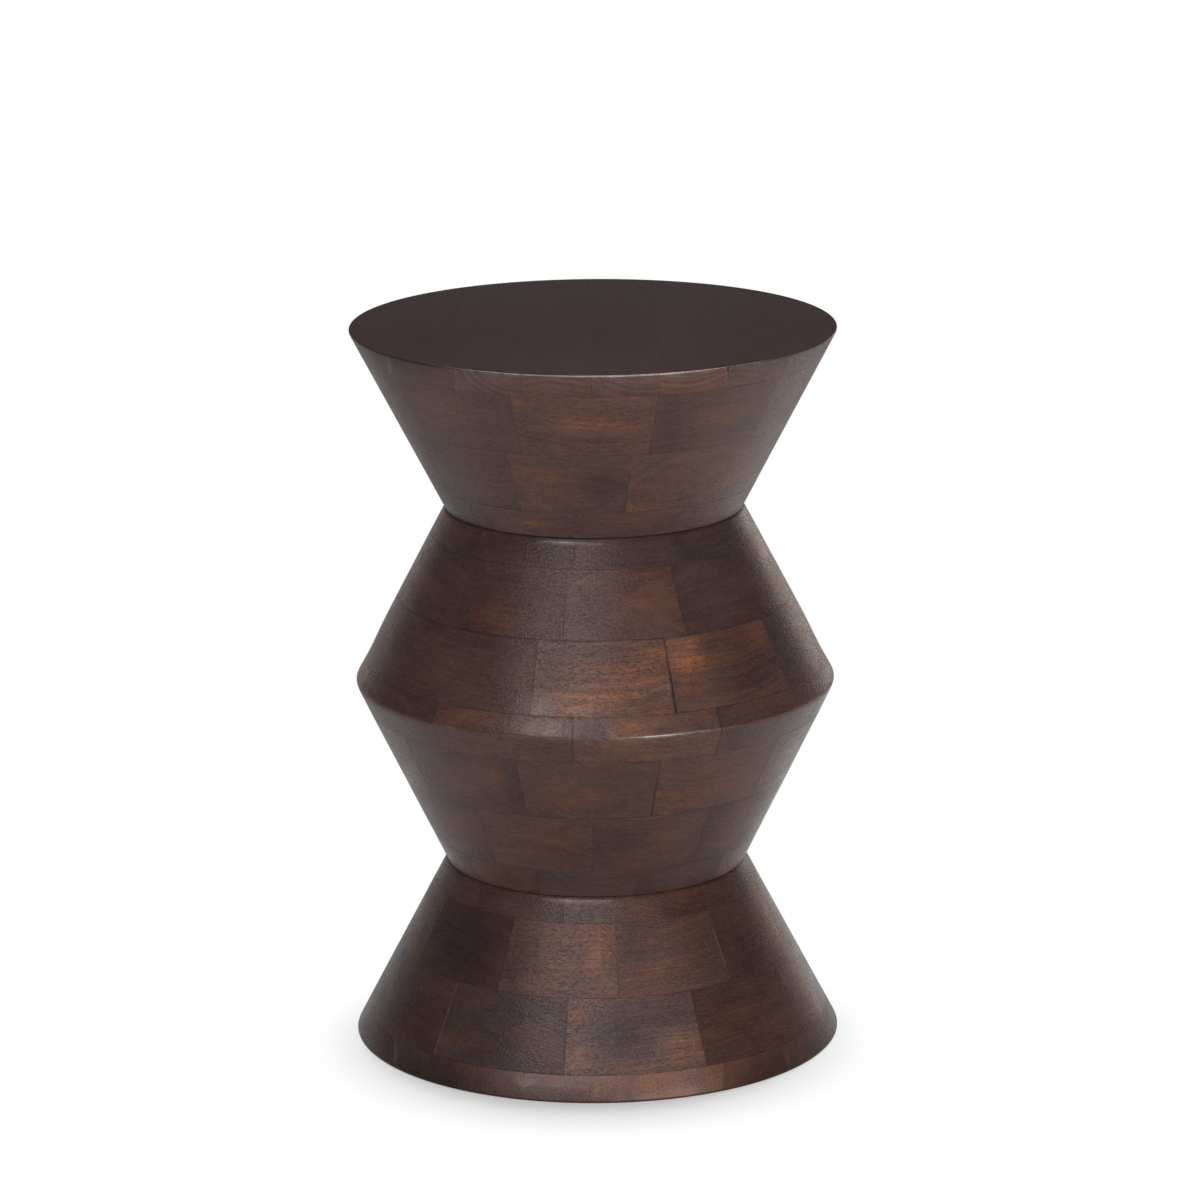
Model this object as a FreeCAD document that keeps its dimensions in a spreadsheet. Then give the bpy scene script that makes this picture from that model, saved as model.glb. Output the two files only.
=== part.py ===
# Accent table turned from glued-up wooden blocks: a zigzag drum of three sections that meet at two necks.
# A section is a stack of courses: rings of mitred blocks, and a panel of strips at each end of the table.
# The blocks keep their flat inner faces, so the table is hollow. Only the outside is turned.
# Millimetres, +Z up, -Y towards the viewer. The origin is on the floor under the middle of the table.
import FreeCAD, Part
import math
import os
import Sketcher

# Driving dimensions. A turn is the angle in degrees from +X to one of the joints between a ring's blocks.
# A lower share is the part that the lower of two rings takes of the height that the pair fills.
DRIVING_DIMENSIONS = {
    "height": 508.0,
    "upper_neck_height": 381.7,
    "crest_height": 258.2,
    "lower_neck_height": 127.5,
    "top_radius": 169.4,
    "upper_neck_radius": 103.9,
    "belly_radius": 168.6,
    "lower_neck_radius": 105.2,
    "foot_radius": 171.9,
    "crest_easing": 2.0,
    "neck_easing": 2.5,
    "tabletop_panel_height": 16.5,
    "top_lower_share": 0.5,
    "top_neck_ring_height": 19.5,
    "belly_neck_ring_2_height": 19.4,
    "belly_upper_pair_lower_share": 0.515,
    "belly_ring_3_height": 32.5,
    "crest_rise": 19.3,  # from the lower face of the belly's third ring up to the crest
    "belly_lower_pair_lower_share": 0.492,
    "belly_neck_ring_1_height": 20.9,
    "base_neck_ring_height": 16.7,
    "base_lower_share": 0.507,
    "underside_panel_height": 17.3,
    "top_ring_2_turn": 33.7,
    "top_ring_1_turn": 28.7,
    "top_neck_ring_turn": 13.8,
    "belly_neck_ring_2_turn": 11.0,
    "belly_ring_5_turn": 8.8,
    "belly_ring_4_turn": 1.9,
    "belly_ring_3_turn": 12.7,
    "belly_ring_2_turn": 34.0,
    "belly_ring_1_turn": 17.0,
    "belly_neck_ring_1_turn": 32.5,
    "base_neck_ring_turn": 6.0,
    "base_ring_2_turn": 24.2,
    "base_ring_1_turn": 9.7,
    "block_count": 10,
    "glue_line": 0.12,
    "wall": 34.0,  # wood left between a ring's flat inner faces and its narrower edge
    "neck_wall": 45.0,
    "strip_width": 45.75,  # of a panel's strip, with its glue line
    "tabletop_panel_shift": -1.5,  # from the axis to the right, to the joint nearest to it
    "underside_panel_shift": -5.0,
    "cutter_overrun": 5.0,
}

SAME = 1e-4  # numbers closer than this are equal
FULL_TURN = 360.0

doc = FreeCAD.newDocument("accent_table")
sheet = doc.addObject("Spreadsheet::Sheet", "Sizes")
nodes = []


class Size(float):
    """A number that carries the expression which ties it to the sheet."""

    def __new__(cls, value, formula):
        number = super().__new__(cls, value)
        number.formula = formula
        return number

    def __neg__(self):
        return Size(-float(self), "(-" + self.formula + ")")

    def __add__(self, other):
        return Size(float(self) + other, joined(self, " + ", other))

    def __sub__(self, other):
        return Size(float(self) - other, joined(self, " - ", other))

    def __mul__(self, other):
        return Size(float(self) * other, joined(self, " * ", other))

    def __truediv__(self, other):
        return Size(float(self) / other, joined(self, " / ", other))


def joined(left, sign, right):
    return "(" + left.formula + sign + getattr(right, "formula", repr(right)) + ")"


def smaller(first, second):
    return Size(min(first, second), "min(" + first.formula + "; " + second.formula + ")")


def whole(number):
    return Size(math.floor(number), "floor(" + number.formula + ")")


def cosine(angle):
    return Size(math.cos(math.radians(angle)), "cos(" + angle.formula + ")")


def sine(angle):
    return Size(math.sin(math.radians(angle)), "sin(" + angle.formula + ")")


def fill_sheet():
    """Writes the driving dimensions as aliased cells, and gives them back by name."""
    sizes = {}
    for row, (name, value) in enumerate(DRIVING_DIMENSIONS.items(), start=1):
        sheet.set("A%d" % row, name.replace("_", " "))
        sheet.set("B%d" % row, str(value))
        sheet.setAlias("B%d" % row, name)
        sizes[name] = Size(value, "Sizes." + name)
    doc.recompute()
    return sizes


size = fill_sheet()
ZERO = Size(0, "0")


def between(low, high, share):
    return low + (high - low) * share


def stack():
    """Lower and upper face of each course above the floor, from the floor up."""
    belly_ring_foot = size["crest_height"] - size["crest_rise"]
    belly_ring_top = belly_ring_foot + size["belly_ring_3_height"]
    base_pair_foot = size["underside_panel_height"]
    base_pair_top = size["lower_neck_height"] - size["base_neck_ring_height"]
    lower_pair_foot = size["lower_neck_height"] + size["belly_neck_ring_1_height"]
    upper_pair_top = size["upper_neck_height"] - size["belly_neck_ring_2_height"]
    top_pair_foot = size["upper_neck_height"] + size["top_neck_ring_height"]
    top_pair_top = size["height"] - size["tabletop_panel_height"]
    joints = {
        "underside_panel": ZERO,
        "base_ring_1": base_pair_foot,
        "base_ring_2": between(base_pair_foot, base_pair_top, size["base_lower_share"]),
        "base_neck_ring": base_pair_top,
        "belly_neck_ring_1": size["lower_neck_height"],
        "belly_ring_1": lower_pair_foot,
        "belly_ring_2": between(lower_pair_foot, belly_ring_foot, size["belly_lower_pair_lower_share"]),
        "belly_ring_3": belly_ring_foot,
        "belly_ring_4": belly_ring_top,
        "belly_ring_5": between(belly_ring_top, upper_pair_top, size["belly_upper_pair_lower_share"]),
        "belly_neck_ring_2": upper_pair_top,
        "top_neck_ring": size["upper_neck_height"],
        "top_ring_1": top_pair_foot,
        "top_ring_2": between(top_pair_foot, top_pair_top, size["top_lower_share"]),
        "tabletop_panel": top_pair_top,
    }
    upper_faces = list(joints.values())[1:] + [size["height"]]
    return {course: (foot, top) for (course, foot), top in zip(joints.items(), upper_faces)}


# The outline from the floor up: radius, height, and the edge's easing where it has one
OUTLINE = (
    (size["foot_radius"], ZERO, None),
    (size["lower_neck_radius"], size["lower_neck_height"], size["neck_easing"]),
    (size["belly_radius"], size["crest_height"], size["crest_easing"]),
    (size["upper_neck_radius"], size["upper_neck_height"], size["neck_easing"]),
    (size["top_radius"], size["height"], None),
)


def radius_at(height):
    """Radius of the outline at a height, on the straight run that holds it."""
    for (low_radius, low, low_easing), (high_radius, high, high_easing) in zip(OUTLINE, OUTLINE[1:]):
        if height < high + SAME:
            break
    return low_radius + (high_radius - low_radius) * ((height - low) / (high - low))


def course_outline(foot, top):
    """The outline between two heights, measured from the lower one. A neck eases only the wood below it."""
    corners = [(radius_at(foot), ZERO, None)]
    for radius, height, easing in OUTLINE:
        if foot + SAME < height < top + SAME:
            corners.append((radius, height - foot, easing))
    if corners[-1][1] < top - foot - SAME:
        corners.append((radius_at(top), top - foot, None))
    return corners


def new_body(name):
    body = doc.addObject("PartDesign::Body", name)
    body.Label = name
    body.AllowCompound = True
    return body


def origin_feature(body, role):
    return next(feature for feature in body.Origin.OriginFeatures if feature.Role == role)


def new_sketch(body, name, role):
    """Sketch on one of the body's origin planes."""
    sketch = body.newObject("Sketcher::SketchObject", name)
    sketch.AttachmentSupport = [(origin_feature(body, role), "")]
    sketch.MapMode = "FlatFace"
    return sketch


def pin(sketch, line, across, up):
    """Fixes a line's first end by its distances from the origin, or on an axis where one is zero."""
    for kind, distance, axis in (("DistanceX", across, -2), ("DistanceY", up, -1)):
        if distance.formula == ZERO.formula:
            sketch.addConstraint(Sketcher.Constraint("PointOnObject", line, 1, axis))
        else:
            number = sketch.addConstraint(Sketcher.Constraint(kind, -1, 1, line, 1, float(distance)))
            sketch.setExpression("Constraints[%d]" % number, distance.formula)


def draw_outline(sketch, corners):
    """Closed outline with every corner fixed."""
    points = [FreeCAD.Vector(across, up, 0) for across, up in corners]
    for number, point in enumerate(points):
        sketch.addGeometry(Part.LineSegment(point, points[(number + 1) % len(points)]), False)
    for number, (across, up) in enumerate(corners):
        sketch.addConstraint(Sketcher.Constraint("Coincident", number, 2, (number + 1) % len(corners), 1))
        pin(sketch, number, across, up)


def finish(body, feature):
    """Makes a feature the body's tip and recomputes it."""
    body.Tip = feature
    doc.recompute()


def turn_outside(body, corners):
    """Turns a solid blank about the axis under the given outline, and eases the edges that have an easing."""
    sketch = new_sketch(body, body.Name + "_outline", "XZ_Plane")
    axis_points = [(ZERO, corners[-1][1]), (ZERO, ZERO)]
    draw_outline(sketch, [(radius, height) for radius, height, easing in corners] + axis_points)
    blank = body.newObject("PartDesign::Revolution", body.Name + "_turned")
    blank.Profile = sketch
    blank.ReferenceAxis = (sketch, ["V_Axis"])
    blank.Angle = FULL_TURN
    finish(body, blank)
    for radius, height, easing in corners:
        if easing:
            sharp = body.Tip
            chamfer = body.newObject("PartDesign::Chamfer", body.Name + "_eased")
            chamfer.Base = (sharp, [edge_at(sharp.Shape, radius, height)])
            chamfer.setExpression("Size", easing.formula)
            finish(body, chamfer)


def edge_at(shape, radius, height):
    """Name of the round edge that has a radius and lies at a height."""
    for number, edge in enumerate(shape.Edges, start=1):
        if isinstance(edge.Curve, Part.Circle):
            miss = math.hypot(edge.Curve.Radius - radius, edge.Curve.Center.z - height)
            if miss < SAME:
                return "Edge%d" % number
    raise RuntimeError("no round edge of radius %.3f at %.3f" % (radius, height))


def cut(body, sketch, name):
    """Pockets a sketch on the body's lower face up through all of it."""
    before = body.Shape.Volume
    pocket = body.newObject("PartDesign::Pocket", name)
    pocket.Profile = sketch
    pocket.Reversed = True
    pocket.Type = "ThroughAll"
    finish(body, pocket)
    if body.Shape.Volume > before - SAME:
        raise RuntimeError(name + " cuts nothing")
    return pocket


def repeat_round(body, feature, count):
    pattern = body.newObject("PartDesign::PolarPattern", feature.Name + "_pattern")
    pattern.Originals = [feature]
    pattern.Axis = (origin_feature(body, "Z_Axis"), [""])
    pattern.Angle = FULL_TURN
    pattern.setExpression("Occurrences", count.formula)
    finish(body, pattern)


def cut_hollow(body, apothem):
    """Cuts out the many-sided hollow between the blocks' flat inner faces, a corner of it on each joint."""
    sketch = new_sketch(body, body.Name + "_hollow_outline", "XY_Plane")
    block_turn = Size(FULL_TURN, repr(FULL_TURN)) / size["block_count"]
    corner_radius = apothem / cosine(block_turn / 2)
    corners = [(corner_radius, ZERO)]
    for number in range(1, int(size["block_count"])):
        direction = block_turn * number
        corners.append((corner_radius * cosine(direction), corner_radius * sine(direction)))
    draw_outline(sketch, corners)
    cut(body, sketch, body.Name + "_hollow")


def cut_mitres(body, reach):
    """Parts a ring into its blocks, with a glue line between each two."""
    half = size["glue_line"] / 2
    sketch = new_sketch(body, body.Name + "_mitre_outline", "XY_Plane")
    draw_outline(sketch, [(ZERO, -half), (reach, -half), (reach, half), (ZERO, half)])
    mitre = cut(body, sketch, body.Name + "_mitre")
    repeat_round(body, mitre, size["block_count"])


def cut_strip_joints(body, shift, inner_reach, reach):
    """Parts a panel into its strips, which run from front to back."""
    width = size["strip_width"]
    left_count = whole((inner_reach + shift) / width)
    right_count = whole((inner_reach - shift) / width)
    middle = shift - width * left_count
    half = size["glue_line"] / 2
    sketch = new_sketch(body, body.Name + "_joint_outline", "XY_Plane")
    left = middle - half
    right = middle + half
    draw_outline(sketch, [(left, -reach), (right, -reach), (right, reach), (left, reach)])
    joint = cut(body, sketch, body.Name + "_joint")
    pattern = body.newObject("PartDesign::LinearPattern", joint.Name + "_pattern")
    pattern.Originals = [joint]
    pattern.Direction = (origin_feature(body, "X_Axis"), [""])
    pattern.setExpression("Length", (width * (left_count + right_count)).formula)
    pattern.setExpression("Occurrences", (left_count + right_count + 1).formula)
    finish(body, pattern)


def place(body, height, turn=ZERO):
    """Sets a finished body at its height, turned about the table's axis, and keeps it as a node."""
    about_axis = FreeCAD.Rotation(FreeCAD.Vector(0, 0, 1), float(turn))
    body.Placement = FreeCAD.Placement(FreeCAD.Vector(), about_axis)
    body.setExpression(".Placement.Base.z", height.formula)
    body.setExpression(".Placement.Rotation.Angle", turn.formula)
    nodes.append(body)


def make_ring(course, foot, top):
    """Ring of mitred blocks with flat inner faces, turned outside."""
    body = new_body(course)
    corners = course_outline(foot, top)
    turn_outside(body, corners)
    widest = max(radius for radius, height, easing in corners)
    narrowest = smaller(corners[0][0], corners[-1][0])
    wall = size["neck_wall" if "neck" in course else "wall"]
    cut_hollow(body, narrowest - wall)
    cut_mitres(body, widest + size["cutter_overrun"])
    place(body, foot, size[course + "_turn"])


def make_panel(course, foot, top):
    """Round panel of strips edge to edge."""
    body = new_body(course)
    corners = course_outline(foot, top)
    turn_outside(body, corners)
    widest = max(radius for radius, height, easing in corners)
    narrowest = smaller(corners[0][0], corners[-1][0])
    cut_strip_joints(body, size[course + "_shift"], narrowest, widest + size["cutter_overrun"])
    place(body, foot)


def check_and_write():
    """Stops if any object has failed, and otherwise writes each node's solids."""
    doc.recompute()
    for item in doc.Objects:
        if "Invalid" in item.State or "Error" in item.State:
            raise RuntimeError(item.Name + " has failed: " + ", ".join(item.State))
    os.makedirs("parts", exist_ok=True)
    for body in nodes:
        shape = body.Shape
        if shape.isNull() or not shape.isValid():
            raise RuntimeError(body.Name + " has no valid shape")
        shape.exportStep("parts/" + body.Label + ".step")
        box = shape.BoundBox
        print("%-20s %2d solids %9.1f cm3  z %6.1f to %6.1f" % (
            body.Label, len(shape.Solids), shape.Volume / 1000, box.ZMin, box.ZMax))


for course, (foot, top) in stack().items():
    if "panel" in course:
        make_panel(course, foot, top)
    else:
        make_ring(course, foot, top)
check_and_write()
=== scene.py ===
import math
import random

import bmesh
import bpy
from mathutils import Euler, Matrix, Vector, noise


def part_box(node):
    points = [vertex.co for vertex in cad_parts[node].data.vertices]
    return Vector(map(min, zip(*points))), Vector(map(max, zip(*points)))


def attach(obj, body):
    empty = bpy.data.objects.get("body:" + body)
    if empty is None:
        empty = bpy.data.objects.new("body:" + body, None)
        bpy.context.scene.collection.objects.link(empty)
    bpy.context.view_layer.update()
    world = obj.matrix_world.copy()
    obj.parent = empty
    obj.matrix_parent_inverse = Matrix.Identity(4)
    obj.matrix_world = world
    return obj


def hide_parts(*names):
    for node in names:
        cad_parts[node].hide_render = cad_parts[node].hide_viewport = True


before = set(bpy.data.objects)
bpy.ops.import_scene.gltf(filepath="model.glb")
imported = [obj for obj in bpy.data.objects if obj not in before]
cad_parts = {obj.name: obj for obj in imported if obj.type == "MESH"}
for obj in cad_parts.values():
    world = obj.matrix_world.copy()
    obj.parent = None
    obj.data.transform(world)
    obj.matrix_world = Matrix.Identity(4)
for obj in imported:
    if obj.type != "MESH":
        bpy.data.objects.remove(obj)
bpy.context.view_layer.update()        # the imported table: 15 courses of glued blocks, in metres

millimetre = 0.001
frontAngle = -90.0   # polar angle of the side that faces the camera, in degrees
chance = random.Random(417)

# The turned outline: radius and height of each corner, from the floor up
drum = {
    "foot": (0.1719, 0.0),
    "lowerNeck": (0.1052, 0.1275),
    "crest": (0.1686, 0.2582),
    "upperNeck": (0.1039, 0.3817),
    "rim": (0.1694, 0.5080),
    "crestSoftness": 1.6 * millimetre,   # how far the two cones run into each other at the crest
    "shoulderSag": 1.1 * millimetre,     # the cone over the crest is turned a little hollow
    "shoulderHeight": 0.274,
    "shoulderReach": 0.016,
    "waviness": 0.10 * millimetre,       # left by the hand-held gouge
    "wavesPerMetre": 24.0,
}


def softLower(first, second, softness):
    return 0.5 * (first + second - math.hypot(first - second, softness))


def coneRadius(height, low, high):
    lowRadius, lowHeight = drum[low]
    highRadius, highHeight = drum[high]
    return lowRadius + (highRadius - lowRadius) * (height - lowHeight) / (highHeight - lowHeight)


def drumRadius(height):
    if height <= drum["lowerNeck"][1]:
        return coneRadius(height, "foot", "lowerNeck")
    if height >= drum["upperNeck"][1]:
        return coneRadius(height, "upperNeck", "rim")
    rising = coneRadius(height, "lowerNeck", "crest")
    falling = coneRadius(height, "crest", "upperNeck")
    away = (height - drum["shoulderHeight"]) / drum["shoulderReach"]
    falling -= drum["shoulderSag"] * math.exp(-away * away)
    return softLower(rising, falling, drum["crestSoftness"])


# How the stain took on a block: lightness, warmth and how strongly the figure of the wood shows
tones = {
    "espresso": (0.30, 0.45, 0.5),
    "slate": (0.34, 0.10, 0.4),
    "plum": (0.37, 0.40, 0.5),
    "ash": (0.46, 0.20, 0.5),
    "umber": (0.47, 0.50, 0.6),
    "rosewood": (0.37, 0.85, 0.6),
    "chestnut": (0.54, 0.65, 0.8),
    "fawn": (0.60, 0.45, 0.8),
    "amber": (0.65, 0.75, 1.0),
}
unseenTones = [
    "espresso", "slate", "plum", "plum", "ash", "umber", "umber", "rosewood", "chestnut", "amber",
]

# Each ring: the joint left of its first named block, in degrees to the right of the front, then the tones
# of its blocks from there to the right. Blocks past the named ones draw a tone from unseenTones.
# A patch is a spot where the stain took otherwise, or where light or shade is painted into the colour as
# said beside
# it: its angle, its height, its half sizes (degrees and mm), and what it adds to the lightness and to the
# warmth.
# It stays on the block that its middle is on.
# A gloss patch is a spot of thicker lacquer: its angle, height, half sizes and strength.
# A wide joint has opened: its angle and its width in mm. Seams say how dark the stain lies in the joint at
# an angle, or with a minus that it shows pale. Beds say the same of the ring's lower and upper face.
rings = {
    "top_ring_2": {
        "firstJoint": -92.3,
        "tones": ["umber", "plum", "chestnut", "umber", "chestnut"],
        "patches": [(-4, 469, 13, 5, 0.16, 0.2), (8, 484, 8, 4, 0.08, 0.2), (-18, 470, 4, 16, -0.1, 0.0),
                    (-4, 458, 12, 4, -0.18, -0.2), (20, 470, 5, 22, -0.12, -0.1),
                    (38, 470, 8, 6, 0.14, 0.4), (-38, 478, 12, 8, 0.12, 0.2), (-30, 452, 8, 6, 0.02, 0.3),
                    (-50, 466, 10, 20, 0.08, 0.2)],
    },
    "top_ring_1": {
        "firstJoint": -97.3,
        "tones": ["umber", "plum", "umber", "chestnut", "chestnut"],
        "patches": [(-16, 430, 8, 12, 0.1, 0.2), (4, 422, 8, 16, -0.16, -0.25),
                    (15, 416, 7, 9, -0.06, -0.1), (-20, 408, 8, 4, 0.1, 0.4), (36, 440, 7, 5, 0.0, -0.2),
                    (-46, 424, 16, 18, 0.12, 0.2)],
    },
    "top_neck_ring": {
        "firstJoint": -76.2,
        "tones": ["plum", "umber", "umber", "umber", "umber"],
        "patches": [(-24, 392, 8, 3, 0.14, 0.5), (14, 394, 10, 4, 0.08, 0.2), (-60, 390, 10, 8, -0.1, 0.0)],
        "beds": (0.5, 0.2),
    },
    "belly_neck_ring_2": {
        "firstJoint": -79.0,
        "tones": ["plum", "espresso", "plum", "slate", "espresso"],
        "patches": [(12, 372, 10, 5, -0.02, -0.1)],
        "gloss": [(-8, 380.8, 15, 1.3, 1.3)],
    },
    "belly_ring_5": {
        "firstJoint": -81.2,
        "tones": ["plum", "plum", "umber", "plum", "espresso"],
        "patches": [(40, 342, 14, 16, 0.08, -0.3), (-34, 330, 9, 12, 0.03, 0.5),
                    (19, 340, 8, 14, 0.14, 0.4), (12, 358, 12, 4, 0.06, 0.4),
                    (-4, 338, 5, 16, -0.04, -0.3), (45, 322, 14, 5, 0.0, 0.3)],
        "seams": {-9.2: 0.9, 26.8: 0.3},
        "beds": (0.9, 0.5),
    },
    "belly_ring_4": {
        "firstJoint": -88.1,
        "tones": ["plum", "plum", "amber", "chestnut", "espresso"],
        "patches": [(-19, 288, 5, 22, 0.1, 0.0), (-13, 300, 6, 20, -0.16, -0.4), (-3, 279, 9, 5, 0.22, 0.2),
                    (12, 296, 7, 8, 0.05, 0.1), (52, 312, 5, 7, 0.1, 0.2), (46, 286, 8, 9, -0.1, -0.1),
                    (0, 312, 12, 5, -0.18, -0.3), (24.5, 305, 7, 15, 0.3, 0.35),
                    (42, 294, 12, 22, -0.14, -0.1), (-44, 289, 12, 15, 0.06, 0.35)],
        "gloss": [(-13, 276, 5, 8, 0.14), (2, 272, 20, 4, 0.05)],
        "wideJoints": [(19.9, 0.4)],
        "seams": {-16.1: 0.5, 19.9: 1.6},
        "beds": (0.55, 1.0),
    },
    "belly_ring_3": {
        "firstJoint": -77.3,
        "tones": ["plum", "umber", "fawn", "umber", "espresso"],
        # the lighter patches just above the crest, at -32, -13, 9 and 16 degrees, are partly painted sheen
        # streaks and partly the wood's own orange
        "patches": [(-32, 265, 7, 5, 0.16, 0.4), (-13, 266, 7, 7, 0.26, 0.15), (0, 262, 4, 8, -0.14, -0.4),
                    (9, 266, 6, 5, 0.14, 0.3), (16, 266, 10, 5, 0.1, 0.2), (14, 246, 12, 6, -0.04, 0.3)],
        "gloss": [(-12, 263, 5, 4, 0.25), (15, 258.6, 8, 1.4, 1.2), (2, 266, 18, 5, 0.05)],
        "wideJoints": [(30.7, 0.2)],
        "seams": {-5.3: 0.5, 30.7: 0.7},
        "beds": (0.3, 0.6),
    },
    "belly_ring_2": {
        "firstJoint": -92.0,
        "tones": ["umber", "plum", "umber", "chestnut", "umber"],
        "patches": [(-42, 215, 12, 24, 0.16, 0.0), (60, 215, 12, 24, 0.12, 0.1),
                    (-27, 224, 5, 12, 0.08, 0.5), (-22, 215, 3, 18, -0.12, -0.2),
                    (0, 214, 14, 8, 0.04, 0.3), (30, 208, 12, 5, 0.06, 0.5)],
        "wideJoints": [(16.0, 0.15)],
        "seams": {-20.0: 0.5, 16.0: 1.2},
        "beds": (1.0, 0.3),
    },
    "belly_ring_1": {
        "firstJoint": -73.0,
        "tones": ["plum", "umber", "umber", "plum", "umber"],
        "patches": [(-12, 180, 10, 8, 0.06, 0.3), (7, 172, 7, 12, -0.14, -0.1), (16, 184, 5, 6, -0.06, 0.1),
                    (26, 172, 8, 14, 0.06, 0.3), (54, 170, 14, 24, 0.2, 0.2),
                    (-52, 170, 14, 24, 0.18, 0.1)],
    },
    "belly_neck_ring_1": {
        "firstJoint": -93.5,
        "tones": ["plum", "rosewood", "ash", "plum", "umber"],
        "patches": [(6, 138, 10, 5, 0.04, 0.2), (32, 138, 12, 20, 0.12, -0.1),
                    (64, 138, 12, 20, 0.24, 0.0)],
        "seams": {-57.5: 0.2},
    },
    "base_neck_ring": {
        "firstJoint": -84.0,
        "tones": ["plum", "plum", "umber", "rosewood", "plum"],
        "patches": [(-6, 119, 8, 6, -0.08, -0.2), (4, 119, 16, 14, 0.12, -0.1), (17, 119, 6, 5, 0.08, 0.6)],
        "gloss": [(-4, 126, 12, 2, 0.4)],
    },
    "base_ring_2": {
        "firstJoint": -65.8,
        "tones": ["espresso", "fawn", "chestnut", "rosewood", "espresso"],
        "patches": [(-46, 90, 12, 20, -0.14, -0.2), (-26, 88, 7, 26, -0.2, 0.15),
                    (-14, 80, 6, 14, 0.0, 0.1), (0, 92, 4, 20, 0.14, 0.5), (12, 94, 5, 16, -0.06, -0.1),
                    (38, 90, 4, 16, -0.08, -0.1), (20, 80, 12, 6, 0.06, 0.3), (18, 90, 11, 16, 0.08, -0.3),
                    (26, 100, 8, 6, -0.06, -0.1), (55, 80, 12, 20, -0.12, -0.2),
                    # the patches at 76 and 86 degrees paint light onto the right side
                    (76, 88, 9, 40, 0.3, -0.2), (86, 88, 12, 40, 0.3, 0.4)],
        "gloss": [(84, 80, 12, 30, 0.12)],
        "seams": {42.2: -0.5},
    },
    "base_ring_1": {
        "firstJoint": -80.3,
        "tones": ["espresso", "slate", "fawn", "rosewood", "espresso"],
        "patches": [(-40, 28, 6, 6, 0.12, 0.5), (-14, 42, 8, 26, 0.12, 0.1), (-5, 28, 4, 10, 0.2, 0.3),
                    (10, 42, 18, 26, 0.13, -0.45), (-4, 54, 4, 8, 0.06, 0.5), (5, 42, 7, 13, -0.3, -0.5),
                    (15, 54, 8, 8, -0.16, -0.3),
                    (22, 30, 7, 11, 0.14, 0.5), (10, 22, 12, 5, 0.08, 0.3),
                    # the patch at 78 degrees paints light onto the right side
                    (42, 44, 8, 5, 0.14, 0.6), (36, 56, 5, 5, -0.1, 0.0), (78, 34, 12, 40, 0.35, 0.5)],
        "gloss": [(84, 34, 12, 40, 0.25)],
        "wideJoints": [(-44.3, 0.3)],
        "seams": {-44.3: -0.5, -8.3: 0.4, 27.7: 0.6},
        "beds": (0.9, 0.4),
    },
}

# The rings whose outside faces down were rubbed smoother
undercutRings = [
    "top_ring_2", "top_ring_1", "top_neck_ring", "belly_ring_2", "belly_ring_1", "belly_neck_ring_1",
]

# How the blocks of a ring are cut and glued
block = {
    "count": 10,
    "steps": 12,
    "rowHeight": 5.5 * millimetre,
    "crestRows": [-4.0, -2.5, -1.5, -0.9, -0.4, 0.1, 0.6, 1.2, 2.0, 3.4],   # mm from the crest
    "crestClear": 1.5 * millimetre,  # no other row comes nearer to them
    "glueLine": 0.04 * millimetre,
    "jointBevel": 0.05 * millimetre,
    "plainSeam": (0.05, 0.35),       # how dark a joint is that no ring names
    "plainBeds": (0.3, 0.3),
    "wall": 34 * millimetre,
    "neckWall": 45 * millimetre,
    "skin": 8.5 * millimetre,        # this near to the turned outline a point counts as outside
    "neckEase": 2.6 * millimetre,
    "easeSteps": 4,
    "mismatch": 0.05 * millimetre,   # the blocks don't sit quite flush
    "pithReach": (0.03, 0.10),       # how far the tree's middle lies from the block's
    "slant": math.radians(5),        # how far a block's grain may lean from its length
    "logLength": 3.0,
    "neckMatch": 0.2 * millimetre,   # a ring that ends this near to a neck has its top edge eased
    "sameJoint": 1.0,                # degrees within which a named joint is the one meant
}
sharpAngle = math.radians(30)
touching = 0.02 * millimetre
hairline = 0.001 * millimetre    # keeps a reach above zero, so that its sign lasts
cutTolerance = 0.002 * millimetre


def polarPoint(radius, angle, height):
    return Vector((radius * math.cos(angle), radius * math.sin(angle), height))


def courseRows(low, high):
    count = max(2, round((high - low) / block["rowHeight"]))
    rows = [low + (high - low) * row / count for row in range(count + 1)]
    crestHeight = drum["crest"][1]
    if low < crestHeight < high:
        near = [crestHeight + step * millimetre for step in block["crestRows"]]
        first, last = near[0] - block["crestClear"], near[-1] + block["crestClear"]
        rows = [row for row in rows if row < first or row > last] + near
    return sorted(rows)


def addLayers(bm):
    return {
        "grain": bm.verts.layers.float_vector.new("grain"),
        "stain": bm.verts.layers.float_color.new("stain"),
        "joints": bm.verts.layers.float_color.new("joints"),
    }


def freshVerts(bm, known):
    return [vert for vert in bm.verts if vert not in known]


def edgesOf(verts):
    return list(dict.fromkeys(edge for vert in verts for edge in vert.link_edges))


def facesOf(verts):
    return list(dict.fromkeys(face for vert in verts for face in vert.link_faces))


def edgesAt(edges, height):
    return [edge for edge in edges if all(abs(vert.co.z - height) < touching for vert in edge.verts)]


def roundEdges(bm, edges, size, segments):
    bmesh.ops.bevel(bm, geom=edges, offset=size, offset_type="OFFSET", affect="EDGES", segments=segments,
                    profile=0.5, material=-1, clamp_overlap=True)


def isOutside(vert):
    return math.hypot(vert.co.x, vert.co.y) > drumRadius(vert.co.z) - block["skin"]


def sharpOutsideEdges(verts):
    return [edge for edge in edgesOf(verts)
            if edge.calc_face_angle(0) > sharpAngle and all(isOutside(vert) for vert in edge.verts)]


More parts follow.
